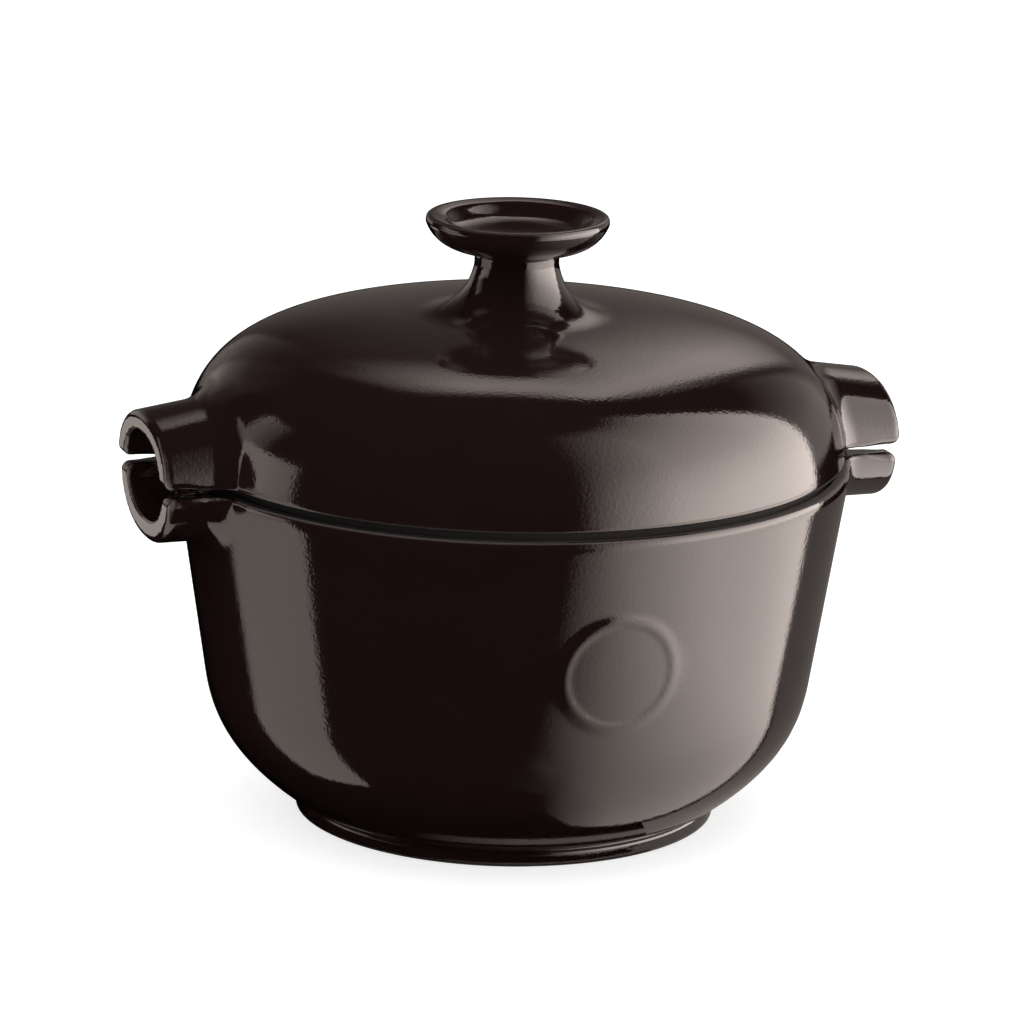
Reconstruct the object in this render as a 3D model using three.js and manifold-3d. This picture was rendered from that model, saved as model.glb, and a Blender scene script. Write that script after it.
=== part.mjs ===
// Stoneware rice pot: a tapered bowl on a foot ring, a domed lid with a mushroom knob, a vented inner lid.
// Each side handle is a pipe cut along its middle: the pot carries the lower half and the lid the upper half.
// Millimetres, +Z up, origin at the centre of the foot ring's underside, handles along X.

import * as THREE from 'three';
import { mergeVertices } from 'three/addons/utils/BufferGeometryUtils.js';
import Module from 'manifold-3d';

const wasm = await Module();
wasm.setup();

// Pot wall and bowl
const RIM_RADIUS = 110;
const RIM_HEIGHT = 118;
const WALL_TAPER = 0.153; // radius lost for each millimetre down the wall
const WALL = 7.5;
const BELLY_HEIGHT = 46; // where the straight wall starts to turn in
const BELLY_PULL = 13.5; // how far the wall's direction carries on into the bowl's curve
const BOWL_ANGLE = THREE.MathUtils.degToRad(33.7); // slope of the bowl where it leaves the foot
const BOWL_PULL = 27;

// Foot ring and floor
const FOOT_RADIUS = 68.8;
const FOOT_HEIGHT = 4.8;
const FOOT_RING = 9;
const FOOT_RECESS = 2;
const FOOT_GROOVE = 1.4; // depth of the groove between the foot and the bowl
const FOOT_ROUND = 0.6;
const FLOOR = 6.5;
const FLOOR_ROUND = 12;

// Stepped seat inside the rim: the lid's lip rests on the upper step, the inner lid on the lower one
const RIM_LAND = 4.5;
const LID_SEAT_DEPTH = 6;
const LID_SEAT_WIDTH = 7;
const INNER_SEAT_DEPTH = 5;
const INNER_SEAT_WIDTH = 5.5;
const INNER_SEAT_THICKNESS = 4;
const RIM_ROUND = 1.2;
const SEAT_ROUND = 1;

// Lid
const LID_RADIUS = 108;
const LID_GAP = 2.4; // open joint between the pot's rim and the lid's edge
const LID_WALL = 7;
const LID_EDGE_ROUND = 2.6;
const DOME_RISE = 45.4;
const DOME_SIDE_LEAN = 3.9; // the dome's Bezier handles: side (inwards, up) and crown (outwards)
const DOME_SIDE_PULL = 32.7;
const DOME_CROWN_RADIUS = 12;
const DOME_CROWN_PULL = 75;
const LIP_THICKNESS = 6;
const LIP_ROUND = 1.2;

// Knob, with heights above the top of the dome
const KNOB_RADIUS = 29.3;
const KNOB_HEIGHT = 32.5;
const KNOB_RIM_DROP = 2.2; // from the knob's top to its widest line
const KNOB_FLARE_RADIUS = 23.5; // where the stem's foot runs out into the dome
const KNOB_FULLNESS = 0.85; // how square the knob's underside turns up to its rim
const STEM_RADIUS = 13.4;
const STEM_HEIGHT = 16.2;
const STEM_FLARE = 0.4; // share of the stem's height that the flare's curve holds straight
const BEAD_RADIUS = 15;
const BEAD_HEIGHT = 19.8;
const DISH_RADIUS = 25.4;
const DISH_DEPTH = 5.2;
const DISH_FULLNESS = 0.8; // how far out the dish's floor stays low

// Inner lid
const INNER_LID_RIM = 4.4;
const INNER_LID_PLATE = 5;
const INNER_LID_CROWN = 4; // rise of the plate from its rim to its middle
const INNER_KNOB_RADIUS = 12;
const INNER_KNOB_STEM_RADIUS = 8;
const INNER_KNOB_HEIGHT = 15;
const INNER_KNOB_ROUND = 4;
const STEAM_HOLE_RADIUS = 4.5;
const STEAM_HOLE_OFFSET = 52;

// Handles
const EAR_HALF_WIDTH = 28.2;
const EAR_SIDE_WALL = 9;
const EAR_SQUARENESS = 2.17; // power of the arch's superellipse: 2 is an ellipse
const EAR_ROUND = 3.2; // rounding of the outer edge at the open end
const EAR_MOUTH_ROUND = 1.2; // rounding of the inner edge there
const EAR_FILLET = 5; // where the ear runs into the wall
const LID_EAR_REACH = 125.2;
const LID_EAR_RISE = 18.9;
const LID_EAR_SLOPE = 0.16; // the top climbs towards the dome
const LID_EAR_ROOF = 6.3;
const POT_EAR_REACH = 124.2;
const POT_EAR_DROP = 19.4;
const POT_EAR_FLOOR = 8.6;

// Fits
const LIP_CLEARANCE = 0.5; // round the lid's lip
const INNER_LID_CLEARANCE = 0.6; // round the inner lid
const SEAT_GAP = 0.3; // between a lid and the step that it rests on

// Fineness
const TURN_STEPS = 60;
const INNER_LID_TURN_STEPS = 48;
const CURVE_STEPS = 7;
const KNOB_CURVE_STEPS = 5;
const ARC_STEPS = 3;
const BEVEL_UP_TO = 2; // smaller roundings are single bevels
const EAR_STEPS = 14;
const EAR_FLAT_STEPS = 6;
const EAR_ARC_STEPS = 3;
const RUN_ROUNDS = 4; // rounds to settle an ear's length where its top slopes
const EAR_SINK = 3; // how far an ear's root reaches into the wall that carries it
const CUT_OVERRUN = 1;
const HOLE_STEPS = 24;
const ROUNDING_SHARE = 0.48; // the most of a side that one rounding takes
const HALVINGS = 40; // when a curve is searched for a height
const WELD_DISTANCE = 1e-4;

// Glaze
const GLAZE_COLOUR = 0x1c1210;
const GLAZE_ROUGHNESS = 0.22;
const INNER_GLAZE_ROUGHNESS = 0.3;

// Places that follow from the sizes above
const lidSeatRadius = RIM_RADIUS - RIM_LAND;
const lidSeatHeight = RIM_HEIGHT - LID_SEAT_DEPTH;
const innerSeatRadius = lidSeatRadius - LID_SEAT_WIDTH;
const innerSeatHeight = lidSeatHeight - INNER_SEAT_DEPTH;
const floorHeight = FOOT_RECESS + FLOOR;
const lidEdgeHeight = RIM_HEIGHT + LID_GAP;
const domeTopHeight = lidEdgeHeight + DOME_RISE;

// A point of a profile: distance from the axis, height
function at(radius, height) {
  return new THREE.Vector2(radius, height);
}

// A profile's points from its corners, each [radius, height] or [radius, height, rounding]
function outline(corners) {
  return corners.flatMap(([radius, height, rounding = 0], i) => {
    const corner = at(radius, height);
    if (rounding === 0) return [corner];
    const back = at(corners[i - 1][0], corners[i - 1][1]).sub(corner);
    const on = at(corners[i + 1][0], corners[i + 1][1]).sub(corner);
    const half = Math.abs(back.angleTo(on)) / 2;
    const room = ROUNDING_SHARE * Math.min(back.length(), on.length());
    const reach = Math.min(rounding / Math.tan(half), room);
    const from = corner.clone().addScaledVector(back.normalize(), reach);
    const to = corner.clone().addScaledVector(on.normalize(), reach);
    const steps = rounding > BEVEL_UP_TO ? ARC_STEPS : 1;
    return new THREE.QuadraticBezierCurve(from, corner, to).getPoints(steps);
  });
}

// Points as the corners that outline() takes
function corners(points) {
  return points.map((point) => [point.x, point.y]);
}

// Points beside a curve, at a distance to its left
function beside(curve, distance, steps) {
  return curve.getPoints(steps).map((point, i) => {
    const tangent = curve.getTangent(i / steps);
    return at(point.x - distance * tangent.y, point.y + distance * tangent.x);
  });
}

// A curve's share that gives a height, for a curve that climbs all the way
function shareAtHeight(curve, height) {
  let low = 0;
  let high = 1;
  for (let i = 0; i < HALVINGS; i++) {
    const middle = (low + high) / 2;
    if (curve.getPoint(middle).y < height) low = middle;
    else high = middle;
  }
  return low;
}

// A closed solid from a geometry, with its faces turned outwards
function solid(geometry) {
  geometry.deleteAttribute('normal');
  geometry.deleteAttribute('uv');
  const merged = mergeVertices(geometry, WELD_DISTANCE);
  const position = merged.getAttribute('position');
  const index = merged.getIndex();
  const faces = [];
  let volume = 0;
  for (let i = 0; i < index.count; i += 3) {
    const [a, b, c] = [index.getX(i), index.getX(i + 1), index.getX(i + 2)];
    if (a === b || b === c || c === a) continue;
    faces.push([a, b, c]);
    const [p, q, r] = [a, b, c].map((k) => new THREE.Vector3().fromBufferAttribute(position, k));
    volume += p.dot(q.cross(r)) / 6;
  }
  const turned = volume > 0 ? faces : faces.map(([a, b, c]) => [a, c, b]);
  return new wasm.Manifold(new wasm.Mesh({
    numProp: 3,
    vertProperties: new Float32Array(position.array),
    triVerts: new Uint32Array(turned.flat()),
  }));
}

// A body turned about Z from its profile
function turned(points, steps) {
  return solid(new THREE.LatheGeometry(points, steps).rotateX(Math.PI / 2));
}

// A mesh from a solid, with a material of its own
function part(name, body, colour, roughness) {
  const mesh = body.getMesh();
  const geometry = new THREE.BufferGeometry();
  geometry.setAttribute('position', new THREE.BufferAttribute(mesh.vertProperties, 3));
  geometry.setIndex(new THREE.BufferAttribute(mesh.triVerts, 1));
  geometry.computeVertexNormals();
  const material = new THREE.MeshStandardMaterial({ color: colour, roughness, metalness: 0 });
  const result = new THREE.Mesh(geometry, material);
  result.name = name;
  return result;
}

// Radius of the pot's outer wall at a height
function wallRadius(height) {
  return RIM_RADIUS - WALL_TAPER * (RIM_HEIGHT - height);
}

// The dome's outer line, from the lid's edge to its crown
const domeLine = new THREE.CubicBezierCurve(
  at(LID_RADIUS, lidEdgeHeight),
  at(LID_RADIUS - DOME_SIDE_LEAN, lidEdgeHeight + DOME_SIDE_PULL),
  at(DOME_CROWN_RADIUS + DOME_CROWN_PULL, domeTopHeight),
  at(DOME_CROWN_RADIUS, domeTopHeight),
);

// Radius of the lid's outer face at a height
function domeRadius(height) {
  return domeLine.getPoint(shareAtHeight(domeLine, height)).x;
}

// Points round an ear's section as [across, tall]: over the arch, then back along its flat side
function earSection() {
  const squarer = (share) => Math.sign(share) * Math.abs(share) ** (2 / EAR_SQUARENESS);
  const arch = Array.from({ length: EAR_STEPS + 1 }, (_, i) => Math.PI * i / EAR_STEPS);
  const flat = Array.from({ length: EAR_FLAT_STEPS - 1 }, (_, i) => 2 * (i + 1) / EAR_FLAT_STEPS - 1);
  return [
    ...arch.map((angle) => [Math.cos(angle), Math.sin(angle)].map(squarer)),
    ...flat.map((across) => [across, 0]),
  ];
}

// One ring of an ear for each station, joined into a closed tube. A station is told how long the run from the
// open end to the wall is for a section grown by some size, and gives the distance from the open end, how far
// the section has grown there, and the height of its flat side.
function earTube(ear, halfWidth, rise, stations) {
  const { reach, base, up, slope, radiusAt } = ear;
  const section = earSection();
  const rings = stations.map((station) => section.map(([across, tall]) => {
    const runAt = (grown) => {
      let run = 0;
      for (let i = 0; i < RUN_ROUNDS; i++) {
        const height = base + up * (rise + slope * run + grown) * tall;
        run = reach - Math.sqrt(radiusAt(height) ** 2 - ((halfWidth + grown) * across) ** 2);
      }
      return run;
    };
    const { along, grown, flat } = station(runAt);
    const top = rise + slope * Math.max(along, 0) + grown;
    const height = flat + (top - flat) * tall;
    return new THREE.Vector3(reach - along, (halfWidth + grown) * across, base + up * height);
  }));
  const mouth = rings[0];
  const root = rings.at(-1);
  const middle = base + up * rise / 2;
  const mouthMiddle = new THREE.Vector3(mouth[0].x, 0, middle);
  const rootMiddle = new THREE.Vector3(radiusAt(middle) - EAR_SINK, 0, middle);
  const triangles = section.flatMap((_, i) => {
    const next = (i + 1) % section.length;
    const side = rings.slice(1).flatMap((ring, k) => {
      const before = rings[k];
      return [before[i], before[next], ring[next], before[i], ring[next], ring[i]];
    });
    return [...side, mouthMiddle, mouth[next], mouth[i], rootMiddle, root[i], root[next]];
  });
  return new THREE.BufferGeometry().setFromPoints(triangles).setIndex([...triangles.keys()]);
}

// Stations of an ear's outside: a rounded open end, a straight run, a fillet and a root sunk in the wall
function outsideStations() {
  const quarter = Array.from({ length: EAR_ARC_STEPS + 1 }, (_, i) => Math.PI / 2 * i / EAR_ARC_STEPS);
  const end = quarter.map((turn) => () => {
    const inset = EAR_ROUND * (1 - Math.sin(turn));
    return { along: EAR_ROUND * (1 - Math.cos(turn)), grown: -inset, flat: inset };
  });
  const filletSize = (runAt) => Math.min(EAR_FILLET, (runAt(0) - EAR_ROUND) / 2);
  const fillet = quarter.map((turn) => (runAt) => {
    const size = filletSize(runAt);
    const grown = size * (1 - Math.cos(turn));
    return { along: runAt(grown) - size * (1 - Math.sin(turn)), grown, flat: 0 };
  });
  const root = (runAt) => {
    const grown = filletSize(runAt);
    return { along: runAt(grown) + EAR_SINK, grown, flat: 0 };
  };
  return [...end, ...fillet, root];
}

// Stations of the hollow under an ear: a rounded mouth, then straight on past the wall's face
function hollowStations() {
  const quarter = Array.from({ length: EAR_ARC_STEPS + 1 }, (_, i) => Math.PI / 2 * i / EAR_ARC_STEPS);
  const mouth = quarter.map((turn) => () => {
    const along = EAR_MOUTH_ROUND * (1 - Math.cos(turn));
    return { along, grown: EAR_MOUTH_ROUND * (1 - Math.sin(turn)), flat: -CUT_OVERRUN };
  });
  const outside = () => ({ along: -CUT_OVERRUN, grown: EAR_MOUTH_ROUND, flat: -CUT_OVERRUN });
  const inside = (runAt) => ({ along: runAt(0) + EAR_SINK + CUT_OVERRUN, grown: 0, flat: -CUT_OVERRUN });
  return [outside, ...mouth, inside];
}

// A half-pipe ear at each end of the X axis
function ears(ear) {
  const outside = earTube(ear, EAR_HALF_WIDTH, ear.rise, outsideStations());
  const hollow = earTube(ear, EAR_HALF_WIDTH - EAR_SIDE_WALL, ear.rise - ear.wall, hollowStations());
  return [0, Math.PI].map((turn) => {
    const body = solid(outside.clone().rotateZ(turn));
    return body.subtract(solid(hollow.clone().rotateZ(turn)));
  });
}

// Pot: foot ring, bowl, tapered wall, stepped seat and the two lower ears
function pot() {
  const bowlLine = new THREE.CubicBezierCurve(
    at(FOOT_RADIUS, FOOT_HEIGHT),
    at(FOOT_RADIUS + BOWL_PULL * Math.cos(BOWL_ANGLE), FOOT_HEIGHT + BOWL_PULL * Math.sin(BOWL_ANGLE)),
    at(wallRadius(BELLY_HEIGHT - BELLY_PULL), BELLY_HEIGHT - BELLY_PULL),
    at(wallRadius(BELLY_HEIGHT), BELLY_HEIGHT),
  );
  const wallAcross = WALL * Math.hypot(1, WALL_TAPER);
  const insideRadius = (height) => wallRadius(height) - wallAcross;
  const bowlInside = beside(bowlLine, WALL, CURVE_STEPS).filter((point) => point.y > floorHeight);
  const [low, next] = bowlInside;
  const floorRadius = low.x - (low.y - floorHeight) * (next.x - low.x) / (next.y - low.y);
  const footInside = FOOT_RADIUS - FOOT_RING;
  const noseRadius = innerSeatRadius - INNER_SEAT_WIDTH;
  const noseHeight = innerSeatHeight - INNER_SEAT_THICKNESS;
  const noseOverhang = insideRadius(noseHeight) - noseRadius;
  const underHeight = noseHeight - noseOverhang / (1 + WALL_TAPER);
  const profile = outline([
    [0, FOOT_RECESS],
    [footInside - FOOT_RECESS, FOOT_RECESS, SEAT_ROUND],
    [footInside, 0],
    [FOOT_RADIUS, 0, FOOT_ROUND],
    [FOOT_RADIUS, FOOT_HEIGHT - FOOT_GROOVE, FOOT_ROUND],
    [FOOT_RADIUS - FOOT_GROOVE, FOOT_HEIGHT],
    ...corners(bowlLine.getPoints(CURVE_STEPS).slice(1)),
    [RIM_RADIUS, RIM_HEIGHT, RIM_ROUND],
    [lidSeatRadius, RIM_HEIGHT, SEAT_ROUND],
    [lidSeatRadius, lidSeatHeight],
    [innerSeatRadius, lidSeatHeight, SEAT_ROUND],
    [innerSeatRadius, innerSeatHeight],
    [noseRadius, innerSeatHeight, SEAT_ROUND],
    [noseRadius, noseHeight, SEAT_ROUND],
    [insideRadius(underHeight), underHeight],
    ...corners(bowlInside.reverse()),
    [floorRadius, floorHeight, FLOOR_ROUND],
    [0, floorHeight],
  ]);
  const ear = {
    reach: POT_EAR_REACH,
    base: RIM_HEIGHT,
    up: -1,
    rise: POT_EAR_DROP,
    slope: 0,
    wall: POT_EAR_FLOOR,
    radiusAt: wallRadius,
  };
  const body = ears(ear).reduce((sum, one) => sum.add(one), turned(profile, TURN_STEPS));
  return part('pot', body, GLAZE_COLOUR, GLAZE_ROUGHNESS);
}

// Lid: domed shell with a lip that drops inside the rim, a mushroom knob and the two upper ears
function lid() {
  const lipOutside = lidSeatRadius - LIP_CLEARANCE;
  const lipInside = lipOutside - LIP_THICKNESS;
  const lipHeight = lidSeatHeight + SEAT_GAP;
  const crownOutwards = [domeLine.v3, domeLine.v2, domeLine.v1, domeLine.v0].map((v) => at(v.y, v.x));
  const flareShare = 1 - shareAtHeight(new THREE.CubicBezierCurve(...crownOutwards), KNOB_FLARE_RADIUS);
  const flareStart = domeLine.getPoint(flareShare);
  const domeInside = beside(domeLine, LID_WALL, CURVE_STEPS);
  const crownInside = domeInside.at(-1).y;
  const domeOutside = Array.from(
    { length: CURVE_STEPS - 1 },
    (_, i) => domeLine.getPoint(flareShare * (i + 1) / CURVE_STEPS),
  );
  const stemHeight = domeTopHeight + STEM_HEIGHT;
  const beadHeight = domeTopHeight + BEAD_HEIGHT;
  const knobTop = domeTopHeight + KNOB_HEIGHT;
  const knobWidest = knobTop - KNOB_RIM_DROP;
  const { lerp } = THREE.MathUtils;
  const flare = new THREE.CubicBezierCurve(
    flareStart,
    at(lerp(KNOB_FLARE_RADIUS, STEM_RADIUS, 1 - STEM_FLARE), flareStart.y),
    at(STEM_RADIUS, lerp(stemHeight, flareStart.y, STEM_FLARE)),
    at(STEM_RADIUS, stemHeight),
  );
  const underside = new THREE.QuadraticBezierCurve(
    at(BEAD_RADIUS, beadHeight),
    at(lerp(BEAD_RADIUS, KNOB_RADIUS, KNOB_FULLNESS), lerp(knobWidest, beadHeight, KNOB_FULLNESS)),
    at(KNOB_RADIUS, knobWidest),
  );
  const rim = new THREE.CubicBezierCurve(
    at(KNOB_RADIUS, knobWidest),
    at(KNOB_RADIUS, knobTop),
    at((KNOB_RADIUS + DISH_RADIUS) / 2, knobTop),
    at(DISH_RADIUS, knobTop - KNOB_RIM_DROP / 2),
  );
  const dish = new THREE.QuadraticBezierCurve(
    at(DISH_RADIUS, knobTop - KNOB_RIM_DROP / 2),
    at(DISH_RADIUS * DISH_FULLNESS, knobTop - DISH_DEPTH),
    at(0, knobTop - DISH_DEPTH),
  );
  const profile = outline([
    [0, crownInside],
    ...corners(domeInside.filter((point) => point.y > lidEdgeHeight + LID_WALL).reverse()),
    [lipInside, lidEdgeHeight],
    [lipInside, lipHeight, LIP_ROUND],
    [lipOutside, lipHeight, LIP_ROUND],
    [lipOutside, lidEdgeHeight],
    [LID_RADIUS, lidEdgeHeight, LID_EDGE_ROUND],
    ...corners(domeOutside),
    ...corners(flare.getPoints(KNOB_CURVE_STEPS)),
    ...corners(underside.getPoints(KNOB_CURVE_STEPS)),
    ...corners(rim.getPoints(ARC_STEPS).slice(1)),
    ...corners(dish.getPoints(ARC_STEPS + 1).slice(1)),
  ]);
  const ear = {
    reach: LID_EAR_REACH,
    base: lidEdgeHeight,
    up: 1,
    rise: LID_EAR_RISE,
    slope: LID_EAR_SLOPE,
    wall: LID_EAR_ROOF,
    radiusAt: domeRadius,
  };
  const body = ears(ear).reduce((sum, one) => sum.add(one), turned(profile, TURN_STEPS));
  return part('lid', body, GLAZE_COLOUR, GLAZE_ROUGHNESS);
}

// Inner lid: a crowned plate with a small grip and two steam holes, lying on the lower step of the seat
function innerLid() {
  const radius = innerSeatRadius - INNER_LID_CLEARANCE;
  const low = innerSeatHeight + SEAT_GAP;
  const rimTop = low + INNER_LID_RIM;
  const crownTop = rimTop + INNER_LID_CROWN;
  const knobTop = crownTop + INNER_KNOB_HEIGHT;
  const crownUnder = crownTop - INNER_LID_PLATE;
  const under = new THREE.QuadraticBezierCurve(
    at(0, crownUnder),
    at(radius / 2, crownUnder),
    at(radius - INNER_SEAT_WIDTH, low),
  );
  const over = new THREE.QuadraticBezierCurve(
    at(radius - INNER_SEAT_WIDTH, rimTop),
    at(radius / 2, crownTop),
    at(INNER_KNOB_RADIUS, crownTop),
  );
  const profile = outline([
    ...corners(under.getPoints(ARC_STEPS)),
    [radius, low, SEAT_ROUND],
    [radius, rimTop, SEAT_ROUND],
    ...corners(over.getPoints(ARC_STEPS)),
    [INNER_KNOB_STEM_RADIUS, crownTop, SEAT_ROUND],
    [INNER_KNOB_STEM_RADIUS, (crownTop + knobTop) / 2, SEAT_ROUND],
    [INNER_KNOB_RADIUS, (crownTop + knobTop) / 2 + SEAT_ROUND, SEAT_ROUND],
    [INNER_KNOB_RADIUS, knobTop, INNER_KNOB_ROUND],
    [0, knobTop],
  ]);
  const deep = INNER_LID_RIM + INNER_LID_CROWN + 2 * CUT_OVERRUN;
  const holes = [-1, 1].map((side) => {
    const hole = new THREE.CylinderGeometry(STEAM_HOLE_RADIUS, STEAM_HOLE_RADIUS, deep, HOLE_STEPS);
    hole.rotateX(Math.PI / 2).translate(0, side * STEAM_HOLE_OFFSET, low - CUT_OVERRUN + deep / 2);
    return solid(hole);
  });
  const body = holes.reduce((sum, hole) => sum.subtract(hole), turned(profile, INNER_LID_TURN_STEPS));
  return part('inner_lid', body, GLAZE_COLOUR, INNER_GLAZE_ROUGHNESS);
}

const ricePot = new THREE.Group();
ricePot.name = 'rice_pot';
ricePot.add(pot(), lid(), innerLid());

export default ricePot;
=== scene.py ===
# %% [markdown]
# A stoneware rice pot
#
# The pot is stoneware under a dark, glossy glaze. It has three pieces: the pot itself, a domed lid with a
# mushroom knob, and a vented inner lid that hides between them. The sizes were settled in the CAD model, so
# this lesson starts by loading that model as a fixed frame. Every new piece is then made in the same place,
# in metres, and rides on one of the frame's bodies.

# %% Load the frame
import math

import bpy
import numpy as np
from mathutils import Matrix


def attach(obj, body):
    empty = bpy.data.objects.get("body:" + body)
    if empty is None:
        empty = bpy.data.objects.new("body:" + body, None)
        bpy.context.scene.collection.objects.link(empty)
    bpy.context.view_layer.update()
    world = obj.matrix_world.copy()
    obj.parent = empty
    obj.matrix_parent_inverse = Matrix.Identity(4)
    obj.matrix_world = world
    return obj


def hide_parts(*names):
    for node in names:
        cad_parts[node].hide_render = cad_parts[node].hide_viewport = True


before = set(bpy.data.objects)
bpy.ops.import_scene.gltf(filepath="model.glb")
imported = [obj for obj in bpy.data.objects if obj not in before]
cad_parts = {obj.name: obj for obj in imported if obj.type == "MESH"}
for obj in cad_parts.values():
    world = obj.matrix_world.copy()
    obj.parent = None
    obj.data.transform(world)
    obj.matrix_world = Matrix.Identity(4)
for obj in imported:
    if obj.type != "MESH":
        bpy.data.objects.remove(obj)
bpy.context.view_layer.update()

# %% [markdown]
# The camera
#
# The photograph was taken from about 1.9 m away with a long lens, a little above the pot, with the handles
# turned about 20 degrees. A camera can be placed by eye and nudged, but the ellipses of the rim, the foot and
# the lid fix it much better, so its numbers here come from fitting those ellipses. The camera stands still
# and the studio is turned with it, so that the lamps can later be placed as the photographer saw them.

# %% Camera
HANDLE_TURN = math.radians(20.0)
CAMERA_DISTANCE = 1.800
CAMERA_ASIDE = 0.0004
CAMERA_HEIGHT = 0.5764
CAMERA_PITCH = 0.25927
CAMERA_ROLL = 0.02430
LENS_MM = 200.92

studio_turn = Matrix.Rotation(-HANDLE_TURN, 4, "Z")
camera_data = bpy.data.cameras.new("studio_camera")
camera_data.sensor_width = 36
camera_data.lens = LENS_MM
camera_data.clip_end = 50
camera = bpy.data.objects.new("studio_camera", camera_data)
bpy.context.scene.collection.objects.link(camera)
camera.matrix_world = (
    studio_turn
    @ Matrix.Translation((CAMERA_ASIDE, -CAMERA_DISTANCE, CAMERA_HEIGHT))
    @ Matrix.Rotation(math.pi / 2 - CAMERA_PITCH, 4, "X")
    @ Matrix.Rotation(CAMERA_ROLL, 4, "Z")
)
bpy.context.scene.camera = camera
print("camera at", [round(v, 3) for v in camera.matrix_world.translation])

# %% [markdown]
# Lines of a potter's profile
#
# A round pot is a profile turned about an axis, and a profile is a few straight runs, a few curves and many
# small roundings. Blender's Screw modifier would turn such a line straight away. Here the handles have to
# grow out of the wall in one skin of glaze, so the profile is kept as points, in millimetres, and is used a
# little further on to measure how far any point in space lies from the clay.

# %% Profile lines
def bend(handles, steps):
    """Points along a Bezier curve of three or four handles."""
    share = np.linspace(0, 1, steps + 1)[:, None]
    points = [np.array(handle, float)[None] for handle in handles]
    while len(points) > 1:
        points = [a * (1 - share) + b * share for a, b in zip(points, points[1:])]
    return points[0]


def beside(line, distance):
    """The same line moved sideways, to its left."""
    run = np.gradient(line, axis=0)
    run /= np.linalg.norm(run, axis=1)[:, None]
    return line + distance * np.stack([-run[:, 1], run[:, 0]], axis=1)


def soften(corners, steps=6):
    """A profile from corners, each (radius, height) or (radius, height, rounding)."""
    points = []
    for i, corner in enumerate(corners):
        here = np.array(corner[:2], float)
        if len(corner) == 2:
            points.append(here)
            continue
        back = np.array(corners[i - 1][:2], float) - here
        on = np.array(corners[i + 1][:2], float) - here
        long_back, long_on = np.linalg.norm(back), np.linalg.norm(on)
        half = math.acos(np.clip(back @ on / (long_back * long_on), -1, 1)) / 2
        reach = min(corner[2] / math.tan(half), 0.48 * long_back, 0.48 * long_on)
        points.extend(bend([here + back / long_back * reach, here, here + on / long_on * reach], steps))
    return np.array(points)


# %% [markdown]
# Measuring distance to the clay
#
# The smoothest way to join a handle to a wall is to describe both by distance: a number for every point in
# space that is negative inside the clay, positive outside and zero on its skin. Two such numbers can be
# joined or cut with a rounding of any radius in one line, which is just what a potter's thumb does at a
# joint. A Boolean and a Bevel modifier could do it too, but a bevel breaks up where a handle runs out into a
# dome.

# %% Distance tools
TABLE_STEP = 0.3
TABLE_RADIUS = 132
TABLE_LOW = -6
TABLE_HIGH = 204


def read_profile(points):
    """A table of signed distances to a closed profile, by radius and height in mm."""
    radii = np.arange(0, TABLE_RADIUS, TABLE_STEP)
    heights = np.arange(TABLE_LOW, TABLE_HIGH, TABLE_STEP)
    grid = np.stack(np.meshgrid(radii, heights, indexing="ij"), axis=-1).reshape(-1, 2)
    nearest = np.full(len(grid), 1e9)
    inside = np.zeros(len(grid), bool)
    on_axis = np.isclose(points[:, 0], 0)
    for i, start in enumerate(points):
        end = points[(i + 1) % len(points)]
        run = end - start
        offset = grid - start
        if not (on_axis[i] and on_axis[(i + 1) % len(points)]):
            share = np.clip(offset @ run / max(run @ run, 1e-12), 0, 1)
            nearest = np.minimum(nearest, ((offset - share[:, None] * run) ** 2).sum(axis=1))
        if start[1] != end[1]:
            crosses = (grid[:, 1] >= min(start[1], end[1])) & (grid[:, 1] < max(start[1], end[1]))
            inside ^= crosses & (grid[:, 0] < start[0] + offset[:, 1] * run[0] / run[1])
    distance = np.sqrt(nearest) * np.where(inside, -1, 1)
    return distance.reshape(len(radii), len(heights))


def turned_distance(table, x, y, z):
    """Distance to the turned profile, read from its table."""
    across = np.hypot(x, y) / TABLE_STEP
    up = (z - TABLE_LOW) / TABLE_STEP
    i = np.clip(across.astype(int), 0, table.shape[0] - 2)
    k = np.clip(up.astype(int), 0, table.shape[1] - 2)
    a, b = across - i, up - k
    low = table[i, k] * (1 - a) + table[i + 1, k] * a
    high = table[i, k + 1] * (1 - a) + table[i + 1, k + 1] * a
    return low * (1 - b) + high * b


def joined(a, b, rounding):
    """Two bodies as one, with a fillet of that radius where they meet."""
    nearest = np.maximum(rounding, np.minimum(a, b))
    return nearest - np.hypot(np.maximum(rounding - a, 0), np.maximum(rounding - b, 0))


def kept(a, b, rounding):
    """What two bodies share, with that rounding on the edge between them."""
    return -joined(-a, -b, rounding)


# %% [markdown]
# The split handles
#
# Each side handle is a short, flat-topped pipe cut along its middle: the lid carries the upper half and the
# pot the lower half, with an open slit between them. The pipe's section is a superellipse, which is an
# ellipse with slightly squarer shoulders. Because both ends of the pot look alike, the ears are measured with
# the X distance taken without its sign, so one formula makes the left and the right one.

# %% Ears
EAR_HALF_WIDTH = 28.2
EAR_SQUARENESS = 2.17
EAR_SIDE_WALL = 8.6
EAR_END_ROUND = 2.0
EAR_MOUTH_ROUND = 0.6
EAR_FILLET = 5.5
EAR_SINK = 1.5
EAR_CLIMB_LENGTH = 40


def pipe_distance(across, tall, half_width, rise):
    """Distance to a pipe of superelliptic section, close to its skin."""
    a = np.maximum(np.abs(across) / half_width, 1e-6)
    b = np.maximum(np.abs(tall) / rise, 1e-6)
    size = (a ** EAR_SQUARENESS + b ** EAR_SQUARENESS) ** (1 / EAR_SQUARENESS)
    slope = np.hypot(a ** (EAR_SQUARENESS - 1) / half_width, b ** (EAR_SQUARENESS - 1) / rise)
    return (size - 1) / (slope * size ** (1 - EAR_SQUARENESS))


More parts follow.
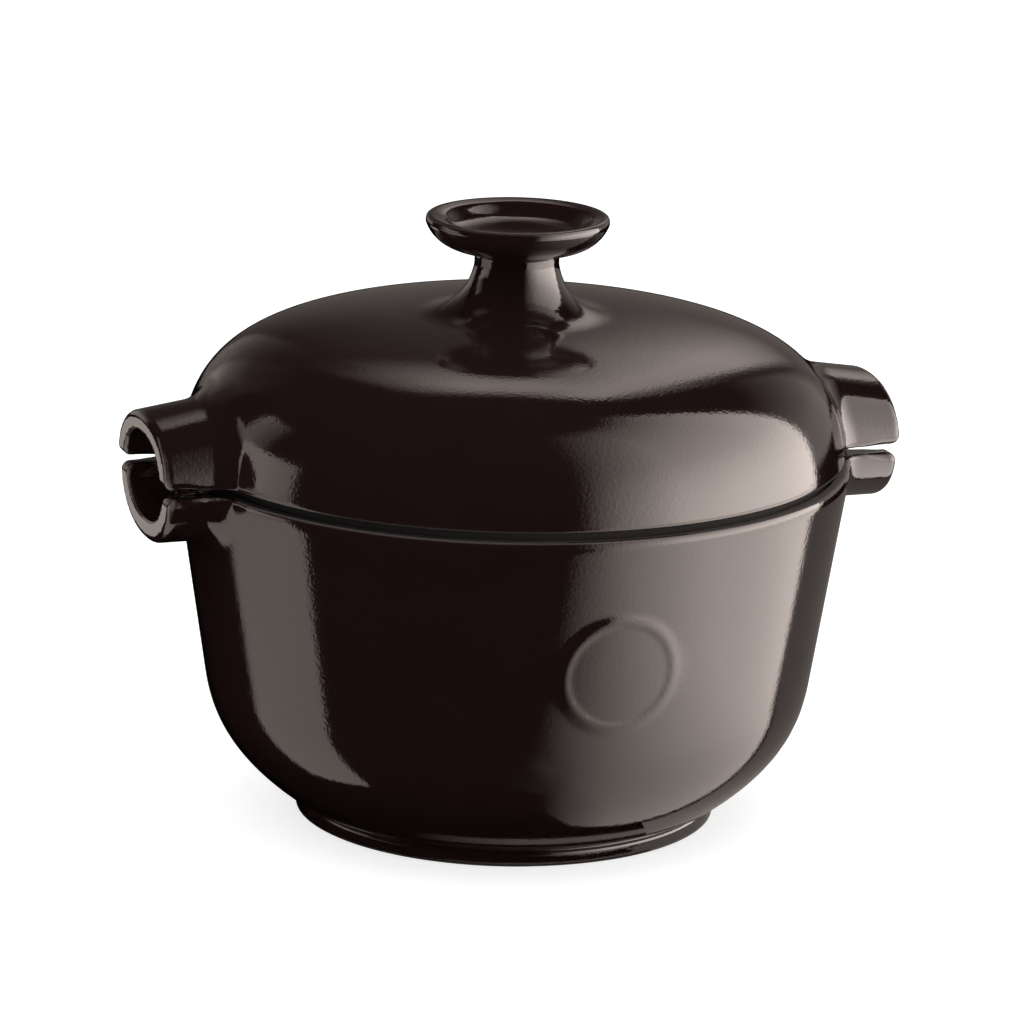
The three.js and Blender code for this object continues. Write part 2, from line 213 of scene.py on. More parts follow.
def ear_distance(x, y, tall, wall_radius, reach, rise, climb, roof):
    """Distance to the half-pipes at both ends of X, which start just inside a wall of that radius."""
    out = np.abs(x)
    top = rise + climb * np.clip(reach - out, 0, EAR_CLIMB_LENGTH)
    solid = kept(pipe_distance(y, tall, EAR_HALF_WIDTH, top), out - reach, EAR_END_ROUND)
    hollow = pipe_distance(y, tall, EAR_HALF_WIDTH - EAR_SIDE_WALL, top - roof)
    shell = kept(solid, -hollow, EAR_MOUTH_ROUND)
    return np.maximum(shell, wall_radius - EAR_SINK - np.hypot(x, y))


# %% [markdown]
# Growing a skin over the clay
#
# A skin is found on a grid like the one a potter's wheel draws in the air: rings, turns and levels. Each cell
# that the surface passes through gets one vertex, and the vertices of neighbouring cells are joined into
# quads. The vertices are then slid onto the exact surface and evened out a few times. A voxel Remesh modifier
# works in a similar way, but its cells are square, so it spends as many faces on a plain wall as on a handle.

# %% Skin tools
def spaced(*spans):
    """Grid lines from spans of (start, step) that end with the last number."""
    lines = []
    for (start, step), after in zip(spans, spans[1:]):
        stop = after[0] if isinstance(after, tuple) else after
        count = max(1, round((stop - start) / step))
        lines.extend(start + (stop - start) * k / count for k in range(count))
    return np.array(lines)


def grow_skin(distance, rings, turns, levels):
    """Vertices and quads round the clay, from one vertex for each grid cell that the surface passes."""
    ring, turn, level = np.meshgrid(rings, turns, levels, indexing="ij")
    depth = distance(ring * np.cos(turn), ring * np.sin(turn), level)
    nr, nt, nz = depth.shape
    inside = depth < 0
    corners = [(a, b, c) for a in (0, 1) for b in (0, 1) for c in (0, 1)]
    around = np.roll(depth, -1, axis=1)
    value = np.stack([
        (around if b else depth)[a:nr - 1 + a, :, c:nz - 1 + c] for a, b, c in corners
    ], axis=-1)
    cells = np.argwhere((value < 0).any(axis=-1) & (value >= 0).any(axis=-1))
    value = value[tuple(cells.T)]
    next_turn = np.append(turns[1:], turns[0] + 2 * np.pi)
    place = np.stack([
        np.stack([
            rings[cells[:, 0] + a],
            (next_turn if b else turns)[cells[:, 1]],
            levels[cells[:, 2] + c],
        ], axis=-1) for a, b, c in corners
    ], axis=1)
    total = np.zeros((len(cells), 3))
    count = np.zeros(len(cells))
    for i, first in enumerate(corners):
        for j, second in enumerate(corners):
            if j <= i or sum(p != q for p, q in zip(first, second)) != 1:
                continue
            passed = (value[:, i] < 0) != (value[:, j] < 0)
            share = value[passed, i] / (value[passed, i] - value[passed, j])
            total[passed] += place[passed, i] + share[:, None] * (place[passed, j] - place[passed, i])
            count[passed] += 1
    middle = total / count[:, None]
    vertices = np.stack([
        middle[:, 0] * np.cos(middle[:, 1]), middle[:, 0] * np.sin(middle[:, 1]), middle[:, 2],
    ], axis=1)
    number = np.full((nr - 1, nt, nz - 1), -1)
    number[tuple(cells.T)] = np.arange(len(cells))
    quads = []
    for axis in range(3):
        ahead = np.roll(inside, -1, axis=axis)
        changes = inside != ahead
        first, second = [(1, 2), (2, 0), (0, 1)][axis]
        for i in (0, 2):
            edge = [slice(None)] * 3
            if axis == i:
                edge[i] = slice(-1, None)
                changes[tuple(edge)] = False
            else:
                for end in (0, -1):
                    edge[i] = end
                    changes[tuple(edge)] = False
        at = np.argwhere(changes)
        loop = []
        for back_first, back_second in [(1, 1), (0, 1), (0, 0), (1, 0)]:
            cell = at.copy()
            cell[:, first] -= back_first
            cell[:, second] -= back_second
            cell[:, 1] %= nt
            loop.append(number[tuple(cell.T)])
        loop = np.stack(loop, axis=1)
        leaves = inside[tuple(at.T)]
        quads.append(np.where(leaves[:, None], loop, loop[:, ::-1]))
    return vertices, np.concatenate(quads)


def settle(distance, vertices, rounds=3, probe=0.12):
    """Slides the vertices along the surface's own direction until they lie on it."""
    for _ in range(rounds):
        x, y, z = vertices.T
        depth = distance(x, y, z)
        slope = np.stack([
            distance(x + probe, y, z) - distance(x - probe, y, z),
            distance(x, y + probe, z) - distance(x, y - probe, z),
            distance(x, y, z + probe) - distance(x, y, z - probe),
        ], axis=1) / (2 * probe)
        steep = np.maximum((slope ** 2).sum(axis=1), 0.25)
        vertices = vertices - np.clip(depth, -1, 1)[:, None] * slope / steep[:, None]
    return vertices


def even_out(distance, vertices, quads, rounds=6):
    """Spreads the vertices evenly over the surface."""
    pairs = np.concatenate([quads[:, [i, (i + 1) % 4]] for i in range(4)])
    pairs = np.unique(np.sort(pairs, axis=1), axis=0)
    ends = np.concatenate([pairs, pairs[:, ::-1]])
    count = np.bincount(ends[:, 0], minlength=len(vertices))[:, None]
    for _ in range(rounds):
        mean = np.stack([
            np.bincount(ends[:, 0], weights=vertices[ends[:, 1], k], minlength=len(vertices))
            for k in range(3)
        ], axis=1) / count
        vertices = settle(distance, vertices + 0.5 * (mean - vertices), rounds=1)
    return settle(distance, vertices)


# %% [markdown]
# From numbers to a Blender mesh
#
# The grid stops just short of the axis, which leaves a small round hole in each floor and crown. Each hole is
# closed with a fan of triangles, as the cap of a Circle primitive is. The whole skin is shaded smooth,
# because every edge of the pot is really rounded.

# %% Mesh helper
MILLIMETRE = 0.001


def make_piece(name, distance, rings, turns, levels):
    """A Blender mesh object, in metres, that skins the clay that the distance describes."""
    vertices, quads = grow_skin(distance, rings, turns, levels)
    vertices = even_out(distance, settle(distance, vertices), quads)
    edges = np.concatenate([quads[:, [i, (i + 1) % 4]] for i in range(4)])
    back = {(b, a) for a, b in edges.tolist()}
    rim = [(a, b) for a, b in edges.tolist() if (a, b) not in back]
    holes, fans = {}, []
    for a, b in rim:
        holes.setdefault(round(vertices[a, 2]), []).append((a, b))
    for loop in holes.values():
        centre = len(vertices)
        height = np.mean([vertices[a, 2] for a, _ in loop])
        vertices = np.concatenate([vertices, [[0, 0, height]]])
        fans.extend((b, a, centre) for a, b in loop)
    mesh = bpy.data.meshes.new(name)
    mesh.from_pydata((vertices * MILLIMETRE).tolist(), [], quads.tolist() + fans)
    mesh.validate()
    mesh.shade_smooth()
    piece = bpy.data.objects.new(name, mesh)
    bpy.context.scene.collection.objects.link(piece)
    print(name, len(mesh.vertices), "vertices,", len(mesh.polygons), "faces,", len(holes), "caps")
    return piece


# %% [markdown]
# The pot
#
# The pot is a deep bowl on a narrow foot ring, with a straight wall that leans outwards. Two steps inside the
# rim carry the lid and the inner lid. The rim is left too tall in the profile and is cut level at the end, as
# a potter trims it with a wire. That one cut gives the rim and the tops of the lower ears the same edge.

# %% Pot profile
RIM_RADIUS = 110.0
RIM_HEIGHT = 118.0
WALL_TAPER = 0.153
WALL_THICKNESS = 7.5
WALL_ACROSS = WALL_THICKNESS * math.hypot(1, WALL_TAPER)
FOOT_RADIUS = 68.8
RECESS_HEIGHT = 2.0
FLOOR_HEIGHT = 8.5
UNTRIMMED_HEIGHT = 124
SEAT_RADIUS, SEAT_HEIGHT = 105.5, 112
STEP_RADIUS, STEP_HEIGHT = 98.5, 107
NOSE_RADIUS, NOSE_HEIGHT = 93, 103


def wall_radius(height):
    """Radius of the pot's outer wall."""
    return RIM_RADIUS - WALL_TAPER * (RIM_HEIGHT - height)


bowl_line = bend([
    (FOOT_RADIUS, 4.8), (91.26, 19.78), (wall_radius(32.5), 32.5), (wall_radius(46), 46),
], 40)
bowl_inside = [p for p in beside(bowl_line, WALL_THICKNESS) if p[1] > FLOOR_HEIGHT + 0.4]
rim_ease = bend([
    (wall_radius(114), 114), (wall_radius(116.6), 116.6), (wall_radius(116.6) - 1.1, 118.4),
], 10)
nose_under = NOSE_HEIGHT - (wall_radius(NOSE_HEIGHT) - WALL_ACROSS - NOSE_RADIUS) / (1 + WALL_TAPER)
pot_profile = soften([
    (0, RECESS_HEIGHT),
    (57.8, RECESS_HEIGHT, 1.0),
    (59.8, 0),
    (FOOT_RADIUS, 0, 0.8),
    (FOOT_RADIUS - 0.2, 4.4, 1.0),
    (67.3, 5.7, 0.5),
    (71.4, 6.9, 0.9),
    *[tuple(p) for p in bowl_line if p[1] > 7.8],
    *[tuple(p) for p in rim_ease],
    (rim_ease[-1][0] - 2.6, UNTRIMMED_HEIGHT),
    (SEAT_RADIUS, UNTRIMMED_HEIGHT),
    (SEAT_RADIUS, SEAT_HEIGHT, 0.6),
    (STEP_RADIUS, SEAT_HEIGHT, 1.0),
    (STEP_RADIUS, STEP_HEIGHT, 0.6),
    (NOSE_RADIUS, STEP_HEIGHT, 1.0),
    (NOSE_RADIUS, NOSE_HEIGHT, 1.0),
    (wall_radius(nose_under) - WALL_ACROSS, nose_under),
    *[tuple(p) for p in reversed(bowl_inside)],
    (bowl_inside[0][0] - 3.5, FLOOR_HEIGHT, 6.0),
    (0, FLOOR_HEIGHT),
])
pot_table = read_profile(pot_profile)
print("pot profile:", len(pot_profile), "points, rim radius", RIM_RADIUS, "mm")

# %% [markdown]
# A plain medallion
#
# Low on the front wall sits a round clay medallion, about 36 mm across, with a raised rim. On this part it
# stays bare: a smooth dished plate. It could be a separate disc, but on the real pot it is pressed on before
# glazing and the glaze runs over both, so here it is a raised place in the wall itself.

# %% Medallion relief
MEDALLION_HEIGHT = 73.0
MEDALLION_RADIUS = 17.9
MEDALLION_SLOPE = 4.0
MEDALLION_RIM = 0.3
MEDALLION_RISE = 0.68
MEDALLION_DISH = 0.36
MEDALLION_DISH_EDGE = 2.0


def step_up(value, low, high):
    """A smooth step from 0 to 1."""
    share = np.clip((value - low) / (high - low), 0, 1)
    return share * share * (3 - 2 * share)


def medallion_relief(x, y, z):
    """How far the medallion stands out of the wall, in mm."""
    away = np.hypot(x, (z - MEDALLION_HEIGHT) * math.hypot(1, WALL_TAPER))
    disc = MEDALLION_RISE * step_up(-away, -MEDALLION_RADIUS - MEDALLION_SLOPE, -MEDALLION_RADIUS)
    inner = MEDALLION_RIM - MEDALLION_RADIUS
    dish = MEDALLION_DISH * step_up(-away, inner, inner + MEDALLION_DISH_EDGE)
    return np.where(y < 0, disc - dish, 0)


print("medallion:", 2 * MEDALLION_RADIUS, "mm across,", MEDALLION_RISE, "mm proud")

# %% [markdown]
# Growing the pot
#
# Bowl, medallion and lower ears are now added up into one distance, and the skin is grown over it. The grid
# is fine at the ears, the medallion, the rim and the foot, and coarse on the plain wall. The rim's edge is
# nearly sharp, and its rounding grows towards the ends of the ears, where fingers go.

# %% Pot
POT_EAR_REACH = 124.2
POT_EAR_DROP = 19.4
POT_EAR_FLOOR = 6.8
POT_EDGE_ROUND, POT_EDGE_EXTRA = 0.4, 2.9
EAR_EDGE_FROM, EAR_EDGE_TO = 111, 121


def pot_distance(x, y, z):
    """Distance to the pot: bowl, medallion and lower ears, cut level at the rim."""
    clay = turned_distance(pot_table, x, y, z)
    out = np.hypot(x, y)
    reach = MEDALLION_RADIUS + 2 * MEDALLION_SLOPE + 0.1
    front = (y < -80) & (np.abs(x) < reach) & (np.abs(z - MEDALLION_HEIGHT) < reach)
    front &= out > wall_radius(z) - 3
    clay[front] -= medallion_relief(x[front], y[front], z[front])
    near = (np.abs(x) > 84) & (np.abs(y) < 48) & (z > 80)
    ears = ear_distance(
        x[near], y[near], RIM_HEIGHT - z[near], wall_radius(z[near]),
        POT_EAR_REACH, POT_EAR_DROP, 0, POT_EAR_FLOOR,
    )
    clay[near] = joined(clay[near], ears, EAR_FILLET)
    edge = POT_EDGE_ROUND + POT_EDGE_EXTRA * step_up(np.abs(x), EAR_EDGE_FROM, EAR_EDGE_TO)
    return kept(clay, z - RIM_HEIGHT, edge)


pot_turns = np.radians(spaced(
    (-21, 0.9), (21, 3.2), (159, 0.9), (201, 3.2), (258.5, 0.55), (281.5, 3.2), 339,
))
pot_rings = spaced((0.8, 3.2), (55, 1.6), (72, 2.2), (92, 0.8), 130.4)
pot_levels = spaced((-1, 0.45), (8, 1.6), (52, 0.65), (93, 0.9), (102, 0.5), 120)
pot = make_piece("pot_glazed", pot_distance, pot_rings, pot_turns, pot_levels)
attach(pot, "pot")
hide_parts("pot")

# %% [markdown]
# The lid
#
# The lid is a low dome with a lip that drops inside the rim, and a mushroom knob with a dished top. The knob
# is turned with the dome, so both share one profile. The ears are joined to it, and then a ring is cut away
# under the edge, which leaves the lip standing and gives the dome's edge and the ears one rounded rim.

# %% Lid profile
LID_EDGE = 120.4
LID_RADIUS = 108.0
DOME_TOP = 165.8
LIP_OUTSIDE, LIP_INSIDE = 103.5, 99
LIP_BOTTOM = 112.3
DOME_THICKNESS = 7
STEM_RADIUS = 13.7
KNOB_TOP = DOME_TOP + 32.0

dome_line = bend([(LID_RADIUS, LID_EDGE), (104.1, 153.1), (87, DOME_TOP), (12, DOME_TOP)], 160)
dome_inside = beside(dome_line, DOME_THICKNESS)
flare_start = dome_line[np.argmin(np.abs(dome_line[:, 0] - 33))]
stem_flare = bend([
    flare_start, (22, DOME_TOP + 0.1), (15.2, DOME_TOP + 7), (STEM_RADIUS, DOME_TOP + 16.2),
], 32)
knob_under = bend([
    (16.5, KNOB_TOP - 11.3), (23.6, KNOB_TOP - 10.7), (28, KNOB_TOP - 7), (29.7, KNOB_TOP - 2.2),
], 24)
knob_rim = bend([(29.7, KNOB_TOP - 2.2), (29.7, KNOB_TOP), (29, KNOB_TOP), (27.6, KNOB_TOP)], 14)
knob_lip = bend([
    (25.4, KNOB_TOP - 0.5), (23.6, KNOB_TOP - 0.9), (22.8, KNOB_TOP - 2.6), (21, KNOB_TOP - 4),
], 12)
knob_dish = bend([(21, KNOB_TOP - 4), (18.5, KNOB_TOP - 6), (13, KNOB_TOP - 6.1), (0, KNOB_TOP - 6.1)], 14)
lid_profile = soften([
    (0, dome_inside[-1][1]),
    *[tuple(p) for p in dome_inside[::-1][::3] if p[1] > LID_EDGE + DOME_THICKNESS],
    (LIP_INSIDE, LID_EDGE + 2),
    (LIP_INSIDE, LIP_BOTTOM, 1.2),
    (LID_RADIUS, LIP_BOTTOM),
    *[tuple(p) for p in dome_line if p[0] > flare_start[0]],
    *[tuple(p) for p in stem_flare],
    (STEM_RADIUS, KNOB_TOP - 11.5, 1.5),
    *[tuple(p) for p in knob_under],
    *[tuple(p) for p in knob_rim[1:]],
    *[tuple(p) for p in knob_lip],
    *[tuple(p) for p in knob_dish[1:]],
])
lid_table = read_profile(lid_profile)
dome_heights, dome_radii = dome_line[:, 1], dome_line[:, 0]
print("lid profile:", len(lid_profile), "points, knob top at", KNOB_TOP, "mm")

# %% [markdown]
# Growing the lid
#
# The upper ears climb a little towards the dome and run out into it in a broad fillet. This is the hardest
# place to model by hand, because three surfaces melt together there. The joined distance gives it in one
# line.

# %% Lid
LID_EAR_REACH = 125.2
LID_EAR_RISE = 18.9
LID_EAR_CLIMB = 0.16
LID_EAR_ROOF = 5.8
LID_EDGE_ROUND, LID_EDGE_EXTRA = 1.3, 2.0


def lid_distance(x, y, z):
    """Distance to the lid: dome, knob and upper ears, with the ring under its edge cut away."""
    clay = turned_distance(lid_table, x, y, z)
    near = (np.abs(x) > 78) & (np.abs(y) < 50) & (z < 158)
    dome = np.interp(z[near], dome_heights, dome_radii)
    ears = ear_distance(
        x[near], y[near], z[near] - LID_EDGE, dome,
        LID_EAR_REACH, LID_EAR_RISE, LID_EAR_CLIMB, LID_EAR_ROOF,
    )
    clay[near] = joined(clay[near], ears, EAR_FILLET)
    edge = LID_EDGE_ROUND + LID_EDGE_EXTRA * step_up(np.abs(x), EAR_EDGE_FROM, EAR_EDGE_TO)
    under = np.minimum(LID_EDGE - z, np.hypot(x, y) - LIP_OUTSIDE)
    return kept(clay, under, edge)


lid_turns = np.radians(spaced((-22, 0.85), (22, 2.4), (158, 0.85), (202, 2.4), 338))
lid_rings = spaced((0.8, 0.8), (31, 2.0), (90, 0.8), 130.4)
lid_levels = spaced((111, 0.5), (122.5, 0.9), (152, 1.2), (165, 0.55), 200)
lid = make_piece("lid_glazed", lid_distance, lid_rings, lid_turns, lid_levels)
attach(lid, "lid")
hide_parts("lid")

# %% [markdown]
# The inner lid
#
# A pot for rice usually has a second lid inside, which keeps the froth down while steam passes through two
# holes. The photograph can't show it, so it is kept simple: a slightly crowned plate with a small grip,
# turned in one piece, with the holes cut out of it and their edges softened by the glaze.

# %% Inner lid
INNER_RADIUS = 97.9
GRIP_RADIUS, GRIP_STEM = 12, 8
HOLE_RADIUS, HOLE_OFFSET, HOLE_ROUND = 4.5, 52, 1.2

inner_under = bend([(0, 110.7), (48.9, 110.7), (92.4, 107.3)], 20)
inner_over = bend([(92.4, 111.7), (48.9, 115.7), (12, 115.7)], 20)
inner_profile = soften([
    *[tuple(p) for p in inner_under],
    (INNER_RADIUS, 107.3, 1.2),
    (INNER_RADIUS, 111.7, 1.2),
    *[tuple(p) for p in inner_over],
    (GRIP_STEM, 115.7, 2.0),
    (GRIP_STEM, 123.2, 1.5),
    (GRIP_RADIUS, 124.2, 1.5),
    (GRIP_RADIUS, 130.7, 4.0),
    (0, 130.7),
])
inner_table = read_profile(inner_profile)


def inner_lid_distance(x, y, z):
    """Distance to the inner lid, with its two steam holes."""
    clay = turned_distance(inner_table, x, y, z)
    return kept(clay, HOLE_RADIUS - np.hypot(x, np.abs(y) - HOLE_OFFSET), HOLE_ROUND)


inner_turns = np.radians(spaced((-75, 4), (83, 0.7), (97, 4), (263, 0.7), (277, 4), 285))
inner_rings = spaced((0.8, 0.8), (14, 2.2), (44, 0.7), (60, 2.2), (92, 0.6), 99)
inner_levels = spaced((106, 0.4), (117, 0.7), 132)
inner_lid = make_piece("inner_lid_glazed", inner_lid_distance, inner_rings, inner_turns, inner_levels)
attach(inner_lid, "inner_lid")
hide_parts("inner_lid")

# %% [markdown]
# Bare clay
#
# In the kiln two glazed faces would melt together, so a potter wipes the glaze off wherever pieces touch:
# under the foot, on the rim and its steps, and on the lips of the lids. That is why the seam under the lid
# looks matt and dark. A separate material could be given to those faces. A mark on the vertices is softer at
# its edge.

# %% Bare clay
def mark_bare(piece, is_bare):
    """Marks the places with no glaze, by radius and height in mm."""
    points = np.empty(3 * len(piece.data.vertices))
    piece.data.vertices.foreach_get("co", points)
    x, y, z = points.reshape(-1, 3).T * 1000
    marks = is_bare(np.hypot(x, y), z).astype(np.float32)
    piece.data.attributes.new("bare", "FLOAT", "POINT").data.foreach_set("value", marks)
    print(piece.name, "has", int(marks.sum()), "bare vertices")


def pot_bare(r, z):
    """Under the foot, on the rim and on the steps inside it."""
    rim = (z > RIM_HEIGHT - 0.3) & (r < 108.3)
    steps = (z > 106.6) & (r < 105.8)
    return (z < 0.3) | rim | steps


mark_bare(pot, pot_bare)
mark_bare(lid, lambda r, z: (z < LID_EDGE + 0.2) & (r < 106.6) & (r > 99.6))
mark_bare(inner_lid, lambda r, z: (z < 107.5) & (r > 92))

# %% [markdown]
# The glaze
#
# The glaze is a thick, dark brown-black glass over clay. It could be one flat, shiny colour, but a real glaze
# is never quite even: it pools and thins a little, its skin has a fine orange-peel wave that frays the edges
# of reflections, and dust makes its gloss grainy. Noise at three sizes gives the unevenness. Sharp edges are
# painted pale, a painted highlight where they would catch the light, and Blender's pointiness finds them. The
# index of refraction is set higher than glass, so that lower cards give the same highlights and the far edges
# don't burn out.

# %% Glaze material
# The first colour is a painted highlight: the pale that sharp edges are given where they would catch the
# light.
PAINTED_EDGE_HIGHLIGHT = (0.24, 0.215, 0.20)
BARE_CLAY = (0.016, 0.009, 0.008)
CLAY_ROUGHNESS = 0.95
GLAZE_IOR = 2.3
POOL_SCALE, GRAIN_SCALE, PEEL_SCALE = 34, 1800, 850
PEEL_DEPTH = 0.00004
EDGE_FROM, EDGE_TO = 0.53, 0.59


def glaze(name, dark, warm, gloss_low, gloss_high):
    """A dark pooled glaze with a rippled, slightly grainy skin."""
    material = bpy.data.materials.new(name)
    material.use_nodes = True
    nodes, links = material.node_tree.nodes, material.node_tree.links
    shader = nodes["Principled BSDF"]
    shader.inputs["IOR"].default_value = GLAZE_IOR
    place = nodes.new("ShaderNodeTexCoord")

    def noise(scale, detail):
        node = nodes.new("ShaderNodeTexNoise")
        node.inputs["Scale"].default_value = scale
        node.inputs["Detail"].default_value = detail
        links.new(place.outputs["Object"], node.inputs["Vector"])
        return node.outputs["Fac"]

    def ranged(value, low, high, to_low, to_high):
        node = nodes.new("ShaderNodeMapRange")
        ends = {"From Min": low, "From Max": high, "To Min": to_low, "To Max": to_high}
        for socket, number in ends.items():
            node.inputs[socket].default_value = number
        links.new(value, node.inputs["Value"])
        return node.outputs["Result"]

    def mixed(factor, first, second):
        node = nodes.new("ShaderNodeMix")
        node.data_type = "RGBA"
        for socket, colour in (("A", first), ("B", second)):
            if isinstance(colour, tuple):
                node.inputs[socket].default_value = (*colour, 1)
            else:
                links.new(colour, node.inputs[socket])
        links.new(factor, node.inputs["Factor"])
        return node.outputs["Result"]

    bare = nodes.new("ShaderNodeAttribute")
    bare.attribute_name = "bare"
    pointiness = nodes.new("ShaderNodeNewGeometry").outputs["Pointiness"]
    # Sharp edges, found by pointiness, get a painted highlight: a pale colour mixed over the pooled glaze
    # colour.
    edge = ranged(pointiness, EDGE_FROM, EDGE_TO, 0, 1)
    glazed = mixed(edge, mixed(noise(POOL_SCALE, 4), dark, warm), PAINTED_EDGE_HIGHLIGHT)
    links.new(mixed(bare.outputs["Fac"], glazed, BARE_CLAY), shader.inputs["Base Color"])

    matt = nodes.new("ShaderNodeMath")
    matt.operation = "MAXIMUM"
    links.new(ranged(noise(GRAIN_SCALE, 2), 0.3, 0.7, gloss_low, gloss_high), matt.inputs[0])
    links.new(ranged(bare.outputs["Fac"], 0, 1, 0, CLAY_ROUGHNESS), matt.inputs[1])
    links.new(matt.outputs[0], shader.inputs["Roughness"])

    ripple = nodes.new("ShaderNodeBump")
    ripple.inputs["Strength"].default_value = 1.0
    ripple.inputs["Distance"].default_value = PEEL_DEPTH
    links.new(noise(PEEL_SCALE, 2), ripple.inputs["Height"])
    links.new(ripple.outputs["Normal"], shader.inputs["Normal"])
    return material


DARK_GLAZE, WARM_GLAZE = (0.0118, 0.0055, 0.0051), (0.0154, 0.0073, 0.0068)
pot_glaze = glaze("pot_glaze", DARK_GLAZE, WARM_GLAZE, 0.05, 0.10)
lid_glaze = glaze("lid_glaze", DARK_GLAZE, WARM_GLAZE, 0.05, 0.10)
inner_glaze = glaze("inner_lid_glaze", (0.0108, 0.0054, 0.0050), (0.0154, 0.0080, 0.0073), 0.16, 0.26)
for piece, finish in ((pot, pot_glaze), (lid, lid_glaze), (inner_lid, inner_glaze)):
    piece.data.materials.append(finish)
    print(piece.name, "wears", finish.name)

# %% [markdown]
# Floor and backdrop
#
# The photograph has a plain white ground. The world and the floor are white to the camera and to reflections,
# and the floor is also a plain pale surface that the lamp lights, so the pot keeps a soft shadow on it.

# %% Floor and world
def white_to_eye(nodes, links):
    """1 for rays that show a background: from the camera, in gloss and through glass."""
    path = nodes.new("ShaderNodeLightPath")
    total = path.outputs["Is Camera Ray"]
    for ray in ("Is Glossy Ray", "Is Transmission Ray"):
        add = nodes.new("ShaderNodeMath")
        add.operation = "ADD"
        add.use_clamp = True
        links.new(total, add.inputs[0])
        links.new(path.outputs[ray], add.inputs[1])
        total = add.outputs[0]
    return total


world = bpy.data.worlds.new("studio")
world.use_nodes = True
bpy.context.scene.world = world
sky = world.node_tree.nodes["Background"]
sky.inputs["Strength"].default_value = 1.0
sky.inputs["Color"].default_value = (1, 1, 1, 1)

FLOOR_HALF = 8
FLOOR_DROP = 0.0002
PAPER_GLOW = 0.72
floor_mesh = bpy.data.meshes.new("floor")
floor_corners = [(FLOOR_HALF * a, FLOOR_HALF * b, 0) for a, b in ((-1, -1), (1, -1), (1, 1), (-1, 1))]
floor_mesh.from_pydata(floor_corners, [], [(0, 1, 2, 3)])
floor = bpy.data.objects.new("floor", floor_mesh)
bpy.context.scene.collection.objects.link(floor)
floor.location.z = -FLOOR_DROP
paper = bpy.data.materials.new("white_paper")
paper.use_nodes = True
paper_nodes, paper_links = paper.node_tree.nodes, paper.node_tree.links
paper_shader = paper_nodes["Principled BSDF"]
paper_shader.inputs["Base Color"].default_value = (0.55, 0.55, 0.55, 1)
paper_shader.inputs["Roughness"].default_value = 0.9
paper_shader.inputs["Specular IOR Level"].default_value = 0
paper_shader.inputs["Emission Color"].default_value = (1, 1, 1, 1)
paper_light = paper_nodes.new("ShaderNodeMath")
paper_light.operation = "MULTIPLY"
paper_light.inputs[1].default_value = PAPER_GLOW
paper_links.new(white_to_eye(paper_nodes, paper_links), paper_light.inputs[0])
paper_links.new(paper_light.outputs[0], paper_shader.inputs["Emission Strength"])
floor_mesh.materials.append(paper)
print("floor and world are white to the camera")

# %% [markdown]
# Cards round the pot
#
# A glossy dark glaze shows little but its surroundings, so a photographer draws it with cards: black ones for
# the deep tone, and lit white ones for the highlights. They stand where the camera can't see them. Here each
# card is a sheet that only reflections can see, so it neither lights nor shades the pot. Every point of a
# sheet keeps its own glow as an attribute, so a card can fade like the edge of a softbox.

# %% Card helper
CARD_TINT = (1.0, 0.88, 0.815, 1)
TENT_RADIUS, LAYER_GAP, TENT_MIDDLE = 2.3, 0.65, 0.12
TABLE_LAYER, TABLE_LIFT = 0.0002, 0.0001

card_light = bpy.data.materials.new("card_light")
card_light.use_nodes = True
card_nodes, card_links = card_light.node_tree.nodes, card_light.node_tree.links
card_nodes.remove(card_nodes["Principled BSDF"])
card_glow = card_nodes.new("ShaderNodeAttribute")
card_glow.attribute_name = "glow"
card_shader = card_nodes.new("ShaderNodeEmission")
card_shader.inputs["Color"].default_value = CARD_TINT
card_links.new(card_glow.outputs["Fac"], card_shader.inputs["Strength"])
card_links.new(card_shader.outputs[0], card_nodes["Material Output"].inputs["Surface"])


def in_the_air(bearing, height, layer):
    """Points one to two metres from the pot. A bearing of 0 is towards the camera, and 90 is to its right."""
    radius = TENT_RADIUS - LAYER_GAP * layer
    turn, climb = np.radians(bearing), np.radians(height)
    x = radius * np.sin(turn) * np.cos(climb)
    y = -radius * np.cos(turn) * np.cos(climb)
    return x, y, TENT_MIDDLE + radius * np.sin(climb)


def on_the_table(x, y, layer):
    """Points just above the floor."""
    return x, y, np.full(x.shape, TABLE_LAYER * layer + TABLE_LIFT)


def round_the_foot(radius, bearing, layer):
    """Points just above the floor, by distance from the pot's axis and bearing."""
    turn = np.radians(bearing)
    return on_the_table(radius * np.sin(turn), -radius * np.cos(turn), layer)


def card(name, place, layer, corners, level, steps=32):
    """A sheet across four corners, seen only in gloss. level gives the glow at each of its points."""
    share = np.linspace(0, 1, steps + 1)
    along, up = (grid.ravel() for grid in np.meshgrid(share, share))
    weights = [(1 - along) * (1 - up), along * (1 - up), along * up, (1 - along) * up]
    first, second = (sum(w * corner[k] for w, corner in zip(weights, corners)) for k in (0, 1))
    row = steps + 1
    faces = [
        (r * row + c, r * row + c + 1, (r + 1) * row + c + 1, (r + 1) * row + c)
        for r in range(steps) for c in range(steps)
    ]
    mesh = bpy.data.meshes.new(name)
    mesh.from_pydata(np.stack(place(first, second, layer), axis=1).tolist(), [], faces)
    glow = mesh.attributes.new("glow", "FLOAT", "POINT")
    glow.data.foreach_set("value", (level(first, second) + np.zeros(len(first))).astype(np.float32))
    mesh.materials.append(card_light)
    sheet = bpy.data.objects.new(name, mesh)
    bpy.context.scene.collection.objects.link(sheet)
    sheet.matrix_world = studio_turn
    sheet.visible_camera = False
    sheet.visible_diffuse = False
    sheet.visible_shadow = False
    sheet.visible_transmission = False
    sheet.visible_volume_scatter = False
    return sheet


def box(first, second):
    """The four corners of a plain sheet, from its two ranges."""
    return [(first[0], second[0]), (first[1], second[0]), (first[1], second[1]), (first[0], second[1])]


